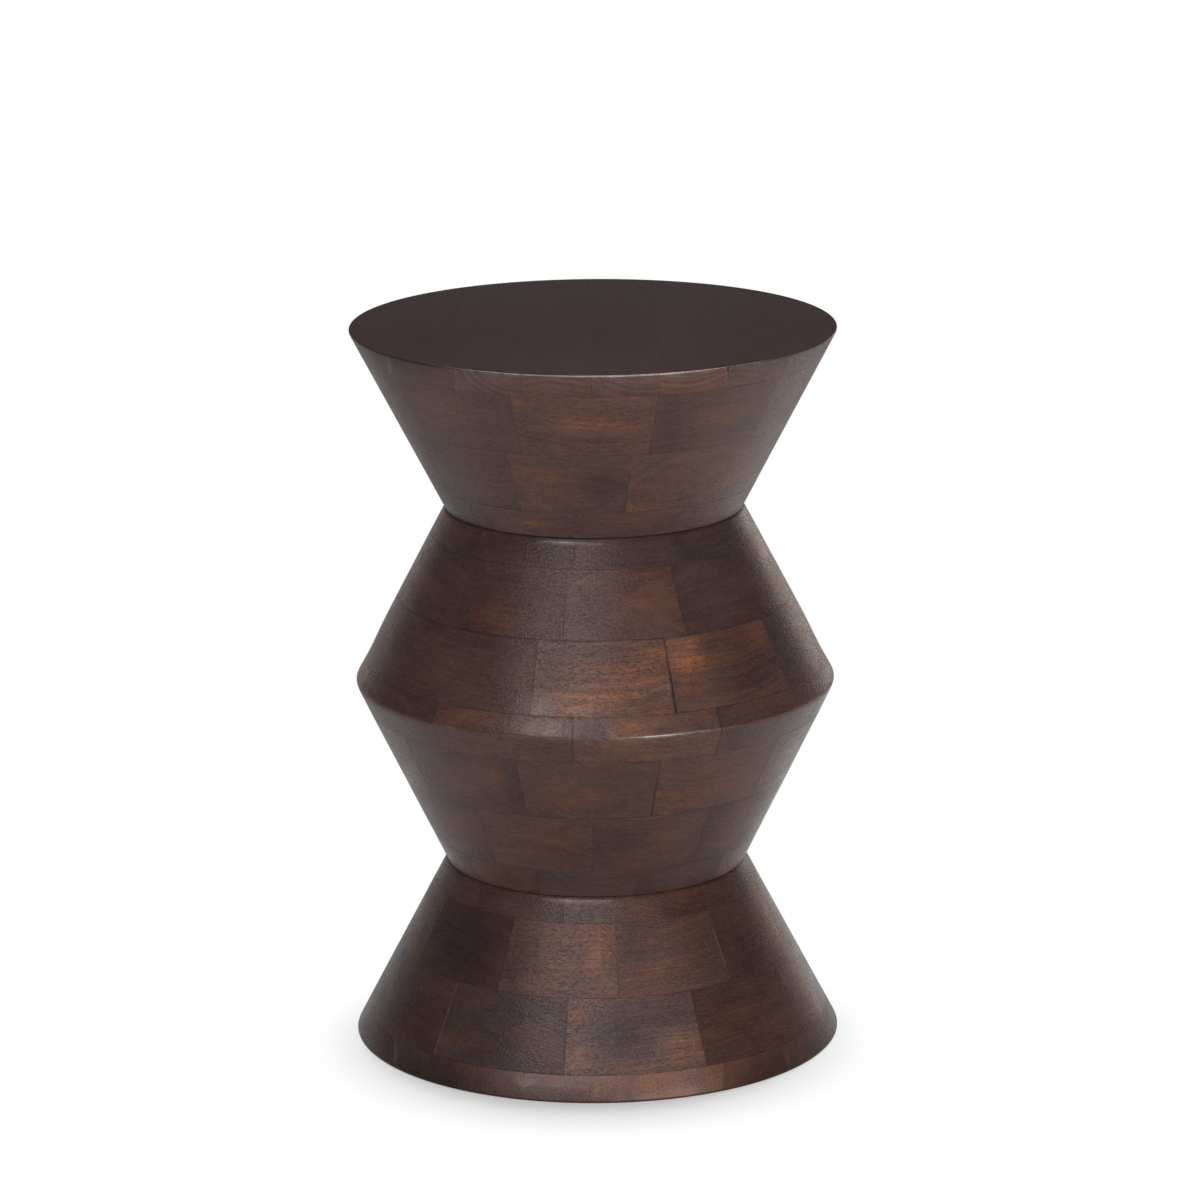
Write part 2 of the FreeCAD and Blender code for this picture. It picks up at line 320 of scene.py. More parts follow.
# One mitred block: its section is swept about the table's axis, then its inner face is made flat
def sweepBlock(bm, low, high, start, end, apothem):
    known = set(bm.verts)
    halfTurn = math.pi / block["count"]
    innerRadius = apothem / math.cos(halfTurn)
    section = [(drumRadius(height), height) for height in courseRows(low, high)]
    section += [(innerRadius, high), (innerRadius, low)]
    face = bm.faces.new([bm.verts.new(polarPoint(radius, start, height)) for radius, height in section])
    bmesh.ops.spin(bm, geom=[face, *face.edges, *face.verts], cent=(0, 0, 0), axis=(0, 0, 1),
                   angle=end - start, steps=block["steps"], use_duplicate=False, use_merge=False)
    verts = freshVerts(bm, known)
    outward = polarPoint(1, (start + end) / 2, 0)
    for vert in verts:
        if math.hypot(vert.co.x, vert.co.y) < innerRadius + touching:
            flatten = apothem / vert.co.dot(outward)
            vert.co.x *= flatten
            vert.co.y *= flatten
    bmesh.ops.recalc_face_normals(bm, faces=facesOf(verts))
    return verts


def fadeFrom(angle, height, patch):
    patchAngle, patchHeight, halfAngle, halfHeight = patch[:4]
    sideways = (angle - patchAngle) / halfAngle
    upwards = (height / millimetre - patchHeight) / halfHeight
    return math.exp(-(sideways ** 2 + upwards ** 2))


# Lightness, warmth, figure and gloss at a point of the outside
def stainAt(tone, patches, gloss, angle, height):
    lightness, warmth, figure = tones[tone]
    for patch in patches:
        fade = fadeFrom(angle, height, patch)
        lightness += patch[4] * fade
        warmth += patch[5] * fade
    return lightness, warmth, figure, sum(spot[4] * fadeFrom(angle, height, spot) for spot in gloss)


def wave(point):
    return noise.noise(point * drum["wavesPerMetre"]) * drum["waviness"]


def pithPlace():
    reach = chance.uniform(*block["pithReach"])
    turn = chance.uniform(0, 2 * math.pi)
    return Vector((chance.uniform(0, block["logLength"]), reach * math.cos(turn), reach * math.sin(turn)))


# Writes what the wood material reads: where a point lies in its log, its stain with the light and shade
# that some patches paint, and how far the joints are
def markBlock(verts, layers, low, high, start, end, tone, patches, gloss, seams):
    middle = (start + end) / 2
    middleAngle = math.degrees(middle) - frontAngle
    outward = polarPoint(1, middle, 0)
    across = Vector((-outward.y, outward.x, 0))
    centre = Vector((0, drumRadius((low + high) / 2), (low + high) / 2))
    tilt, lean = (chance.uniform(-1, 1) * block["slant"] for turn in range(2))
    slant = Euler((0, tilt, lean)).to_matrix()
    log = pithPlace()
    step = chance.uniform(-block["mismatch"], block["mismatch"])
    for vert in verts:
        point = vert.co.copy()
        radius = math.hypot(point.x, point.y)
        turned = math.atan2(point.dot(across), point.dot(outward))
        local = Vector((point.dot(across), point.dot(outward), point.z)) - centre
        vert[layers["grain"]] = slant @ local + log
        angle = middleAngle + math.degrees(turned)
        vert[layers["stain"]] = stainAt(tone, patches, gloss, angle, point.z)
        toStart = max(0, turned + (end - start) / 2) * radius
        toEnd = max(0, (end - start) / 2 - turned) * radius
        reaches = (toStart, toEnd, max(0, point.z - low), max(0, high - point.z))
        vert[layers["joints"]] = [(reach + hairline) / seam for reach, seam in zip(reaches, seams)]
        if isOutside(vert):
            push = (wave(point) + step) / radius
            vert.co.x += point.x * push
            vert.co.y += point.y * push


def shadeByAngle(bm):
    for face in bm.faces:
        face.smooth = True
    for edge in bm.edges:
        edge.smooth = edge.calc_face_angle(0) < sharpAngle


def keepPiece(bm, name, node, materials):
    mesh = bpy.data.meshes.new(name)
    bm.to_mesh(mesh)
    bm.free()
    for material in materials:
        mesh.materials.append(material)
    piece = bpy.data.objects.new(name, mesh)
    bpy.context.scene.collection.objects.link(piece)
    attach(piece, "root")
    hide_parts(node)
    return piece


def seamStrength(ring, angle):
    for seamAngle, strength in ring.get("seams", {}).items():
        if abs(seamAngle - angle) < block["sameJoint"]:
            return strength
    return chance.uniform(*block["plainSeam"])


def jointWidth(ring, angle):
    for wideAngle, width in ring.get("wideJoints", []):
        if abs(wideAngle - angle) < block["sameJoint"]:
            return width * millimetre
    return block["glueLine"]


def makeRing(node, ring, material):
    lowest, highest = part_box(node)
    low, high = lowest.z, highest.z
    radius = max(drumRadius(low), drumRadius(high))
    wall = block["neckWall" if "neck" in node else "wall"]
    apothem = min(drumRadius(low), drumRadius(high)) - wall
    turn = 360 / block["count"]
    hasEasedTop = any(abs(high - drum[neck][1]) < block["neckMatch"] for neck in ("lowerNeck", "upperNeck"))
    bm = bmesh.new()
    layers = addLayers(bm)
    for number in range(block["count"]):
        left = ring["firstJoint"] + turn * number
        right = left + turn
        start = math.radians(frontAngle + left) + jointWidth(ring, left) / radius / 2
        end = math.radians(frontAngle + right) - jointWidth(ring, right) / radius / 2
        named = number < len(ring["tones"])
        tone = ring["tones"][number] if named else chance.choice(unseenTones)
        patches = [patch for patch in ring["patches"] if left < patch[0] < right]
        known = set(bm.verts)
        verts = sweepBlock(bm, low, high, start, end, apothem)
        if hasEasedTop:
            topEdges = edgesAt(sharpOutsideEdges(verts), high)
            roundEdges(bm, topEdges, block["neckEase"], block["easeSteps"])
            verts = freshVerts(bm, known)
        roundEdges(bm, sharpOutsideEdges(verts), block["jointBevel"], 1)
        verts = freshVerts(bm, known)
        seams = (seamStrength(ring, left), seamStrength(ring, right), *ring.get("beds", block["plainBeds"]))
        markBlock(verts, layers, low, high, start, end, tone, patches, ring.get("gloss", []), seams)
    shadeByAngle(bm)
    return keepPiece(bm, node + "_blocks", node, [material])


# The two round panels: strips from front to back. The tones run from left to right.
panels = {
    "tabletop_panel": {
        "joint": -1.5 * millimetre,
        "tones": ["plum", "plum", "umber", "umber", "umber", "chestnut", "umber", "umber"],
        # the patch at 7 degrees on the rim is a painted highlight; the one at -52 degrees darkens the rim
        # on the left
        "patches": [(4, 499, 26, 9, -0.04, 0.25), (-48, 498, 16, 9, 0.2, 0.1), (7, 508, 17, 0.9, 0.7, -0.5),
                    (30, 500, 14, 8, 0.02, 0.0), (-52, 507.6, 22, 1.5, -0.45, 0.0),
                    (52, 507.5, 24, 2, -0.16, 0.2)],
        "gloss": [(4, 508, 32, 1.2, 2.7), (38, 508, 18, 1.1, 1.0)],
        "cracks": [(90.0, 0.8)],   # place and width in mm
        "roundedEnd": "top",
        "rounding": 1.8 * millimetre,
    },
    "underside_panel": {
        "joint": -5.0 * millimetre,
        "tones": ["espresso", "espresso", "umber", "umber", "umber", "umber", "rosewood", "umber"],
        # painted light: the lighter patches at -16, 2 and 19 degrees are partly sheen, the one at 18
        # degrees and 5.5 mm a highlight
        # painted shade: the darker patch at 0 mm darkens the lower rounding next to the floor
        "patches": [(-34, 8, 9, 30, -0.16, 0.0), (-16, 8, 14, 30, 0.26, -0.15), (2, 8, 12, 30, 0.24, 0.0),
                    (19, 8, 12, 30, 0.36, 0.15), (34, 8, 6, 30, 0.1, 0.3), (60, 8, 22, 30, -0.1, 0.2),
                    (-66, 8, 22, 30, -0.1, 0.1), (18, 5.5, 11, 3.5, 0.6, -0.1),
                    (0, 0, 90, 2.2, -0.7, 0.0)],
        "gloss": [(-14, 9, 12, 4, 0.3), (-16, 4.5, 9, 2.5, 0.5), (12, 5.5, 12, 2.8, 0.5)],
        "cracks": [],
        "roundedEnd": "foot",
        "rounding": 2.6 * millimetre,
    },
}

strip = {
    "width": 45.75 * millimetre,
    "roundSteps": 180,
    "roundingSteps": 4,
    "glueLine": 0.02 * millimetre,
    "jointBevel": 0.03 * millimetre,
    "seam": 0.15,
    "crackDepth": 4 * millimetre,   # how far an open joint runs in from the edge
    "levelSlope": 0.95,             # a face that points up or down more than this is flat
}


# One strip: the panel's whole disc, cut off on both sides
def cutStrip(bm, low, high, left, right, settings):
    known = set(bm.verts)
    bmesh.ops.create_cone(bm, cap_ends=True, segments=strip["roundSteps"], radius1=drumRadius(low),
                          radius2=drumRadius(high), depth=high - low,
                          matrix=Matrix.Translation((0, 0, (low + high) / 2)))
    verts = freshVerts(bm, known)
    endEdges = edgesAt(edgesOf(verts), high if settings["roundedEnd"] == "top" else low)
    roundEdges(bm, endEdges, settings["rounding"], strip["roundingSteps"])
    for place, side in ((left, -1), (right, 1)):
        if place is None:
            continue
        verts = freshVerts(bm, known)
        cut = bmesh.ops.bisect_plane(bm, geom=[*verts, *edgesOf(verts), *facesOf(verts)],
                                     dist=cutTolerance, plane_co=(place, 0, 0), plane_no=(side, 0, 0),
                                     clear_outer=True)
        rim = [item for item in cut["geom_cut"] if isinstance(item, bmesh.types.BMEdge)]
        bmesh.ops.edgeloop_fill(bm, edges=rim)
    verts = freshVerts(bm, known)
    bmesh.ops.recalc_face_normals(bm, faces=facesOf(verts))
    jointEdges = [edge for edge in edgesOf(verts) if edge.calc_face_angle(0) > sharpAngle]
    roundEdges(bm, jointEdges, strip["jointBevel"], 1)
    return freshVerts(bm, known)


def markStrip(verts, layers, low, high, left, right, tone, settings):
    centre = Vector(((left + right) / 2, 0, (low + high) / 2))
    log = pithPlace()
    for vert in verts:
        point = vert.co - centre
        vert[layers["grain"]] = Vector((point.y, point.x, point.z)) + log
        angle = math.degrees(math.atan2(vert.co.x, -vert.co.y))
        vert[layers["stain"]] = stainAt(tone, settings["patches"], settings["gloss"], angle, vert.co.z)
        reaches = (max(0, vert.co.x - left), max(0, right - vert.co.x),
                   max(0, vert.co.z - low), max(0, high - vert.co.z))
        vert[layers["joints"]] = [reach / strip["seam"] for reach in reaches]


def makePanel(node, settings, edgeMaterial, flatMaterial):
    lowest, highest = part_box(node)
    low, high = lowest.z, highest.z
    reach = max(drumRadius(low), drumRadius(high))
    narrow = min(drumRadius(low), drumRadius(high))
    first = -math.floor((narrow + settings["joint"]) / strip["width"])
    last = math.floor((narrow - settings["joint"]) / strip["width"])
    joints = [settings["joint"] + strip["width"] * number for number in range(first, last + 1)]
    bm = bmesh.new()
    layers = addLayers(bm)
    for number, tone in enumerate(settings["tones"]):
        left = joints[number - 1] + strip["glueLine"] / 2 if number else None
        right = joints[number] - strip["glueLine"] / 2 if number < len(joints) else None
        verts = cutStrip(bm, low, high, left, right, settings)
        for place, width in settings["cracks"]:
            if any(side and abs(side - place * millimetre) < millimetre for side in (left, right)):
                verts = openCrack(bm, verts, place * millimetre, width * millimetre)
        markStrip(verts, layers, low, high, -reach if left is None else left,
                  reach if right is None else right, tone, settings)
    shadeByAngle(bm)
    for face in bm.faces:
        face.material_index = 1 if abs(face.normal.z) > strip["levelSlope"] else 0
    return keepPiece(bm, node + "_strips", node, [edgeMaterial, flatMaterial])


# An open joint gapes at the front edge and closes further in
def openCrack(bm, verts, place, width):
    known = set(bm.verts) - set(verts)
    closed = strip["crackDepth"] - math.sqrt(drum["rim"][0] ** 2 - place ** 2)
    bmesh.ops.bisect_plane(bm, geom=[*verts, *edgesOf(verts), *facesOf(verts)], dist=cutTolerance,
                           plane_co=(0, closed, 0), plane_no=(0, 1, 0))
    verts = freshVerts(bm, known)
    for vert in verts:
        fromJoint = vert.co.x - place
        if abs(fromJoint) < millimetre and vert.co.y < closed - touching:
            opened = min(1, (closed - vert.co.y) / strip["crackDepth"])
            vert.co.x += math.copysign(width / 2, fromJoint) * opened
    return verts


# Shader nodes

def feed(tree, made, inputs):
    for socket, value in inputs.items():
        if isinstance(value, bpy.types.NodeSocket):
            tree.links.new(value, made.inputs[socket])
        else:
            made.inputs[socket].default_value = value


def addNode(tree, kind, inputs=None, **settings):
    made = tree.nodes.new("ShaderNode" + kind)
    for setting, value in settings.items():
        setattr(made, setting, value)
    feed(tree, made, inputs or {})
    return made


def sums(tree, operation, *values):
    return addNode(tree, "Math", dict(enumerate(values)), operation=operation).outputs[0]


def vectorSums(tree, operation, *values):
    made = addNode(tree, "VectorMath", dict(enumerate(values)), operation=operation)
    return made.outputs["Value" if operation in ("LENGTH", "DISTANCE", "DOT_PRODUCT") else "Vector"]


# Goes smoothly from newLow, where the value is low, to newHigh, where it is high
def smoothStep(tree, value, low, high, newLow=0.0, newHigh=1.0):
    return addNode(tree, "MapRange", {"Value": value, "From Min": low, "From Max": high, "To Min": newLow,
                                      "To Max": newHigh}, interpolation_type="SMOOTHSTEP").outputs["Result"]


def noiseAt(tree, place, scale, detail, roughness=0.5):
    return addNode(tree, "TexNoise", {"Vector": place, "Scale": scale, "Detail": detail,
                                      "Roughness": roughness}).outputs["Fac"]


# Noise that is drawn out along the grain, with its own cells per metre along and across it
def grainNoise(tree, grain, look):
    along, across, detail, roughness = look
    scaled = vectorSums(tree, "MULTIPLY", grain, (along, across, across))
    return noiseAt(tree, scaled, 1.0, detail, roughness)


def mixColours(tree, factor, first, second):
    return addNode(tree, "Mix", {0: factor, 6: first, 7: second}, data_type="RGBA").outputs[2]


def newGroup(name, inputs, outputs):
    group = bpy.data.node_groups.new(name, "ShaderNodeTree")
    for socket, kind, value in inputs:
        made = group.interface.new_socket(socket, in_out="INPUT", socket_type="NodeSocket" + kind)
        if value is not None:
            made.default_value = value
    for socket, kind in outputs:
        group.interface.new_socket(socket, in_out="OUTPUT", socket_type="NodeSocket" + kind)
    given = group.nodes.new("NodeGroupInput")
    result = group.nodes.new("NodeGroupOutput")
    return group, given.outputs, result.inputs


def placeGroup(tree, group, inputs):
    made = tree.nodes.new("ShaderNodeGroup")
    made.node_tree = group
    feed(tree, made, inputs)
    return made.outputs


def linearChannel(level):
    shown = level / 255
    return shown / 12.92 if shown <= 0.04045 else ((shown + 0.055) / 1.055) ** 2.4


def linear(red, green, blue):
    return [linearChannel(red), linearChannel(green), linearChannel(blue), 1]


def colourRamp(tree, factor, stops):
    made = addNode(tree, "ValToRGB", {"Fac": factor})
    ramp = made.color_ramp
    while len(ramp.elements) < len(stops):
        ramp.elements.new(1)
    for element, (place, colour) in zip(ramp.elements, stops):
        element.position = place
        element.color = linear(*colour)
    return made.outputs["Color"]


# The wood's own pattern. A noise is given by its cells per metre along and across the grain, its detail and
# its roughness, and a pair says between which of its values the pattern goes from none to full.
timber = {
    "ringSpacing": 2.4 * millimetre,
    "ringWobble": 6 * millimetre,
    "ringWander": (14, 40, 2.0, 0.5),
    "ringEdges": (0.3, 0.7),
    "figure": (22, 95, 3.0, 0.6),
    "figureEdges": (0.28, 0.72),
    "pores": (290, 1150, 1.5, 0.5),
    "poreCrowding": (35, 110, 1.0, 0.5),
    "poreLevel": 0.72,          # how high the noise of a pore has to be where none crowd
    "poreCrowded": 0.14,        # how far crowding lowers that
    "poreSoftness": 0.12,
    "fibres": (190, 780, 2.0, 0.65),
    "blotches": (22, 46, 4.0, 0.6),
    "blotchEdges": (0.25, 0.75),
    "warmBlotches": (20, 70, 4.0, 0.65),
    "warmEdges": (0.3, 0.7),
    "warmShift": (0.37, 0.21, 0.53),   # so that warm and dark blotches don't fall together
}


# Growth rings round the log's middle, and the wide figure that runs along the grain
def growthRingsGroup():
    tree, given, result = newGroup("growthRings", [("Grain", "Vector", None), ("Spacing", "Float", 0.0),
                                                   ("Wobble", "Float", 0.0)],
                                   [("Rings", "Float"), ("Figure", "Float")])
    wander = grainNoise(tree, given["Grain"], timber["ringWander"])
    wobble = sums(tree, "MULTIPLY", sums(tree, "SUBTRACT", wander, 0.5), given["Wobble"])
    crossSection = vectorSums(tree, "MULTIPLY", given["Grain"], (0, 1, 1))
    fromPith = sums(tree, "ADD", vectorSums(tree, "LENGTH", crossSection), wobble)
    bands = addNode(tree, "TexNoise", {"W": sums(tree, "DIVIDE", fromPith, given["Spacing"]), "Scale": 1.0,
                                       "Detail": 1.0}, noise_dimensions="1D").outputs["Fac"]
    tree.links.new(smoothStep(tree, bands, *timber["ringEdges"]), result["Rings"])
    figure = grainNoise(tree, given["Grain"], timber["figure"])
    tree.links.new(smoothStep(tree, figure, *timber["figureEdges"]), result["Figure"])
    return tree


# Short fibres and open pores, both drawn out along the grain
def poresGroup():
    tree, given, result = newGroup("poresAndFibres", [("Grain", "Vector", None), ("Density", "Float", 0.5)],
                                   [("Pores", "Float"), ("Fibres", "Float")])
    dashes = grainNoise(tree, given["Grain"], timber["pores"])
    crowding = grainNoise(tree, given["Grain"], timber["poreCrowding"])
    crowded = sums(tree, "MULTIPLY", sums(tree, "ADD", crowding, given["Density"]), timber["poreCrowded"])
    level = sums(tree, "SUBTRACT", timber["poreLevel"], crowded)
    pores = smoothStep(tree, sums(tree, "SUBTRACT", dashes, level), 0.0, timber["poreSoftness"])
    tree.links.new(pores, result["Pores"])
    tree.links.new(grainNoise(tree, given["Grain"], timber["fibres"]), result["Fibres"])
    return tree


# Where the stain soaked in more and less
def blotchesGroup():
    tree, given, result = newGroup("stainBlotches", [("Grain", "Vector", None)],
                                   [("Depth", "Float"), ("Warmth", "Float")])
    depth = grainNoise(tree, given["Grain"], timber["blotches"])
    tree.links.new(smoothStep(tree, depth, *timber["blotchEdges"]), result["Depth"])
    moved = vectorSums(tree, "ADD", given["Grain"], timber["warmShift"])
    warmth = grainNoise(tree, moved, timber["warmBlotches"])
    tree.links.new(smoothStep(tree, warmth, *timber["warmEdges"]), result["Warmth"])
    return tree


# The line that a joint shows
jointLine = {
    "raggedScale": 900.0,
    "leastWidth": 0.65,         # how narrow its ragged edge makes it, and by how much it may be wider
    "raggedWidth": 0.7,
    "fullTo": 0.25,             # the share of its width at which it begins to fade
    "brokenScale": 55.0,
    "darkGaps": (0.32, 0.6, 0.25, 1.0),   # where it is broken a dark line fades to a quarter
    "paleGaps": (0.38, 0.55),             # and a pale one to nothing
    "farOff": 100.0,
}


# Stain gathered in the joints between blocks, broken along its length. A reach below zero marks a joint
# that shows as a pale line.
def jointLinesGroup():
    tree, given, result = newGroup("jointLines", [("Sides", "Vector", None), ("Above", "Float", 0.0),
                                                  ("Width", "Float", 0.0)],
                                   [("Line", "Float"), ("Pale", "Float")])
    sides = addNode(tree, "SeparateXYZ", {0: given["Sides"]}).outputs
    place = addNode(tree, "TexCoord").outputs["Object"]
    ragged = noiseAt(tree, place, jointLine["raggedScale"], 1.0)
    broken = noiseAt(tree, place, jointLine["brokenScale"], 2.0)
    raggedShare = sums(tree, "MULTIPLY_ADD", ragged, jointLine["raggedWidth"], jointLine["leastWidth"])
    width = sums(tree, "MULTIPLY", given["Width"], raggedShare)

    def lineAt(reach):
        return smoothStep(tree, sums(tree, "DIVIDE", reach, width), jointLine["fullTo"], 1.0, 1.0, 0.0)

    nearest = sums(tree, "MINIMUM", sides["Z"], given["Above"])
    for side in (sides["X"], sides["Y"]):
        isPale = sums(tree, "LESS_THAN", side, 0.0)
        dark = sums(tree, "MULTIPLY_ADD", isPale, jointLine["farOff"], side)
        nearest = sums(tree, "MINIMUM", nearest, dark)
    pale = sums(tree, "MINIMUM", sides["X"], sides["Y"])
    paleLine = lineAt(sums(tree, "ABSOLUTE", pale))
    paleLine = sums(tree, "MULTIPLY", paleLine, sums(tree, "LESS_THAN", pale, 0.0))
    paleLine = sums(tree, "MULTIPLY", paleLine, smoothStep(tree, broken, *jointLine["paleGaps"]))
    tree.links.new(paleLine, result["Pale"])
    line = sums(tree, "MULTIPLY", lineAt(nearest), smoothStep(tree, broken, *jointLine["darkGaps"]))
    tree.links.new(line, result["Line"])
    return tree


# The turned edges, where hands rubbed the stain thin
turnedEdges = {
    "circles": ["foot", "crest"],
    "rubbed": (0.6 * millimetre, 1.7 * millimetre, 1.0, 0.0),
    "patchScale": 38.0,
    "patchEdges": (0.58, 0.78),
    "wearLowers": 0.3,          # how far full wear lowers what a patch needs
}


def wornEdgesGroup():
    tree, given, result = newGroup("wornEdges", [("Wear", "Float", 0.5)],
                                   [("Rubbed", "Float"), ("Patches", "Float")])
    place = addNode(tree, "TexCoord").outputs["Object"]
    height = addNode(tree, "SeparateXYZ", {0: place}).outputs["Z"]
    radius = vectorSums(tree, "LENGTH", vectorSums(tree, "MULTIPLY", place, (1, 1, 0)))
    section = addNode(tree, "CombineXYZ", {0: radius, 2: height}).outputs[0]
    nearest = None
    for name in turnedEdges["circles"]:
        cornerRadius, cornerHeight = drum[name]
        away = vectorSums(tree, "DISTANCE", section, (cornerRadius, 0, cornerHeight))
        nearest = away if nearest is None else sums(tree, "MINIMUM", nearest, away)
    patchy = noiseAt(tree, place, turnedEdges["patchScale"], 4.0, 0.65)
    rubbed = smoothStep(tree, nearest, *turnedEdges["rubbed"])
    worn = sums(tree, "MULTIPLY_ADD", given["Wear"], turnedEdges["wearLowers"], patchy)
    patches = smoothStep(tree, worn, *turnedEdges["patchEdges"])
    tree.links.new(sums(tree, "MULTIPLY", rubbed, patches), result["Rubbed"])
    tree.links.new(patches, result["Patches"])
    return tree


groups = {
    "rings": growthRingsGroup(),
    "pores": poresGroup(),
    "blotches": blotchesGroup(),
    "joints": jointLinesGroup(),
    "edges": wornEdgesGroup(),
}

coolStain = [(0.0, (32, 24, 24)), (0.35, (54, 43, 42)), (0.7, (76, 61, 59)), (1.0, (102, 85, 82))]
warmStain = [(0.0, (38, 25, 20)), (0.35, (62, 41, 35)), (0.7, (92, 60, 46)), (1.0, (134, 86, 57))]
poreStain = linear(24, 16, 15)
jointStain = linear(34, 31, 34)
rubbedWood = linear(132, 92, 74)

# The stained and lacquered surfaces. Lighter and warmer add to the stain of every block, a share says how
# much of a pattern shows, and depths are in mm.
turnedWood = {
    "lighter": 0.045,
    "warmer": 0.0,
    "toneShare": 1.0,
    "ringShare": 0.12,
    "figureShare": 0.13,
    "blotchShare": 0.14,
    "warmthShare": 0.35,
    "fibreShare": 0.42,
    "poreShare": 0.55,
    "poreDensity": 0.85,
    "jointWidth": 0.9 * millimetre,
    "jointShare": 0.75,
    "wear": 0.5,
    "wearShare": 0.5,
    "roughness": (0.25, 0.33),
    "poreRoughness": 0.1,
    "specular": 0.25,
    "glossTint": (1, 0.84, 0.82, 1),
    "glossShare": 1.0,
    "unrubbedGloss": 0.4,       # how much of a gloss patch is left between the rubbed patches
    "coatRoughness": 0.08,
    "coatIor": 1.85,
    "poreDepth": 0.06,
    "fibreDepth": 0.10,
    "unevenness": 0.27,
    "unevenScale": 800.0,
}
undercutWood = dict(turnedWood, unevenness=0.05, fibreDepth=0.06, poreShare=0.4, fibreShare=0.38,
                    jointShare=0.6)
endGrainWood = dict(undercutWood, warmer=0.12, ringShare=0.36, figureShare=0.08, blotchShare=0.12,
                    fibreShare=0.3)
footWood = dict(turnedWood, lighter=0.15, warmer=-0.12, ringShare=0.05, figureShare=0.08,
                blotchShare=0.12, fibreShare=0.5, poreShare=0.4, unevenness=0.12)
tableTopWood = dict(turnedWood, lighter=-0.12, warmer=-0.2, toneShare=0.1, specular=0.14, glossShare=0.0,
                    ringShare=0.02, figureShare=0.04, blotchShare=0.07, warmthShare=0.1, fibreShare=0.06,
                    poreShare=0.2, jointShare=0.0, roughness=(0.38, 0.42), poreDepth=0.02,
                    fibreDepth=0.03, unevenness=0.02)
undersideWood = dict(turnedWood, lighter=-0.05, ringShare=0.1, roughness=(0.6, 0.75), glossShare=0.0)
meanTone = {"lightness": 0.42, "warmth": 0.45}


def makeWood(name, look):
    material = bpy.data.materials.new(name)
    material.use_nodes = True
    tree = material.node_tree
    tree.nodes.clear()
    grain = addNode(tree, "Attribute", attribute_name="grain").outputs["Vector"]
    stains = addNode(tree, "Attribute", attribute_name="stain").outputs
    stain = addNode(tree, "SeparateXYZ", {0: stains["Vector"]})
    joints = addNode(tree, "Attribute", attribute_name="joints").outputs
    growth = placeGroup(tree, groups["rings"], {"Grain": grain, "Spacing": timber["ringSpacing"],
                                                "Wobble": timber["ringWobble"]})
    pores = placeGroup(tree, groups["pores"], {"Grain": grain, "Density": look["poreDensity"]})
    blotches = placeGroup(tree, groups["blotches"], {"Grain": grain})
    lines = placeGroup(tree, groups["joints"], {"Sides": joints["Vector"], "Above": joints["Alpha"],
                                                "Width": look["jointWidth"]})
    edges = placeGroup(tree, groups["edges"], {"Wear": look["wear"]})

    def share(value, amount):
        return sums(tree, "MULTIPLY", sums(tree, "SUBTRACT", value, 0.5), amount)

    def blockTone(value, mean, moved):
        fromMean = sums(tree, "SUBTRACT", value, mean)
        return sums(tree, "MULTIPLY_ADD", fromMean, look["toneShare"], mean + moved)

    def layOver(colour, mask, amount, tint):
        return mixColours(tree, sums(tree, "MULTIPLY", mask, amount), colour, tint)

    # Colour
    showing = stain.outputs["Z"]
    figured = sums(tree, "ADD", share(growth["Rings"], look["ringShare"]),
                   share(growth["Figure"], look["figureShare"]))
    lightness = blockTone(stain.outputs["X"], meanTone["lightness"], look["lighter"])
    lightness = sums(tree, "MULTIPLY_ADD", figured, showing, lightness)
    lightness = sums(tree, "ADD", lightness, share(blotches["Depth"], look["blotchShare"]))
    lightness = sums(tree, "ADD", lightness, share(pores["Fibres"], look["fibreShare"]))
    warmth = blockTone(stain.outputs["Y"], meanTone["warmth"], look["warmer"])
    warmth = sums(tree, "ADD", warmth, share(blotches["Warmth"], look["warmthShare"]))
    warmth = sums(tree, "ADD", warmth, share(growth["Figure"], look["warmthShare"]))
    warmth = addNode(tree, "Clamp", {0: warmth}).outputs[0]
    cool, warm = colourRamp(tree, lightness, coolStain), colourRamp(tree, lightness, warmStain)
    colour = mixColours(tree, warmth, cool, warm)
    shownPores = sums(tree, "MULTIPLY", pores["Pores"], showing)
    colour = layOver(colour, shownPores, look["poreShare"], poreStain)
    colour = layOver(colour, edges["Rubbed"], look["wearShare"], rubbedWood)
    colour = layOver(colour, lines["Pale"], look["wearShare"], rubbedWood)
    colour = layOver(colour, lines["Line"], look["jointShare"], jointStain)

    # Gloss
    roughness = smoothStep(tree, blotches["Depth"], 0.0, 1.0, *look["roughness"])
    roughness = sums(tree, "MULTIPLY_ADD", pores["Pores"], look["poreRoughness"], roughness)
    unrubbed = look["unrubbedGloss"]
    broken = sums(tree, "MULTIPLY_ADD", edges["Patches"], 1.0 - unrubbed, unrubbed)
    coat = sums(tree, "MULTIPLY", sums(tree, "MULTIPLY", stains["Alpha"], broken), look["glossShare"])

    # Relief
    place = addNode(tree, "TexCoord").outputs["Object"]
    relief = sums(tree, "MULTIPLY", noiseAt(tree, place, look["unevenScale"], 1.0), look["unevenness"])
    relief = sums(tree, "MULTIPLY_ADD", pores["Fibres"], look["fibreDepth"], relief)
    relief = sums(tree, "MULTIPLY_ADD", pores["Pores"], -look["poreDepth"], relief)
    relief = sums(tree, "MULTIPLY_ADD", lines["Line"], -look["poreDepth"], relief)
    bump = addNode(tree, "Bump", {"Height": relief, "Strength": 1.0, "Distance": millimetre})
    shader = addNode(tree, "BsdfPrincipled", {"Base Color": colour, "Roughness": roughness,
                                              "Normal": bump.outputs["Normal"],
                                              "Coat Weight": coat, "Coat Roughness": look["coatRoughness"],
                                              "Coat IOR": look["coatIor"],
                                              "Specular IOR Level": look["specular"],
                                              "Specular Tint": look["glossTint"]})
    output = addNode(tree, "OutputMaterial")
    tree.links.new(shader.outputs["BSDF"], output.inputs["Surface"])
    return material


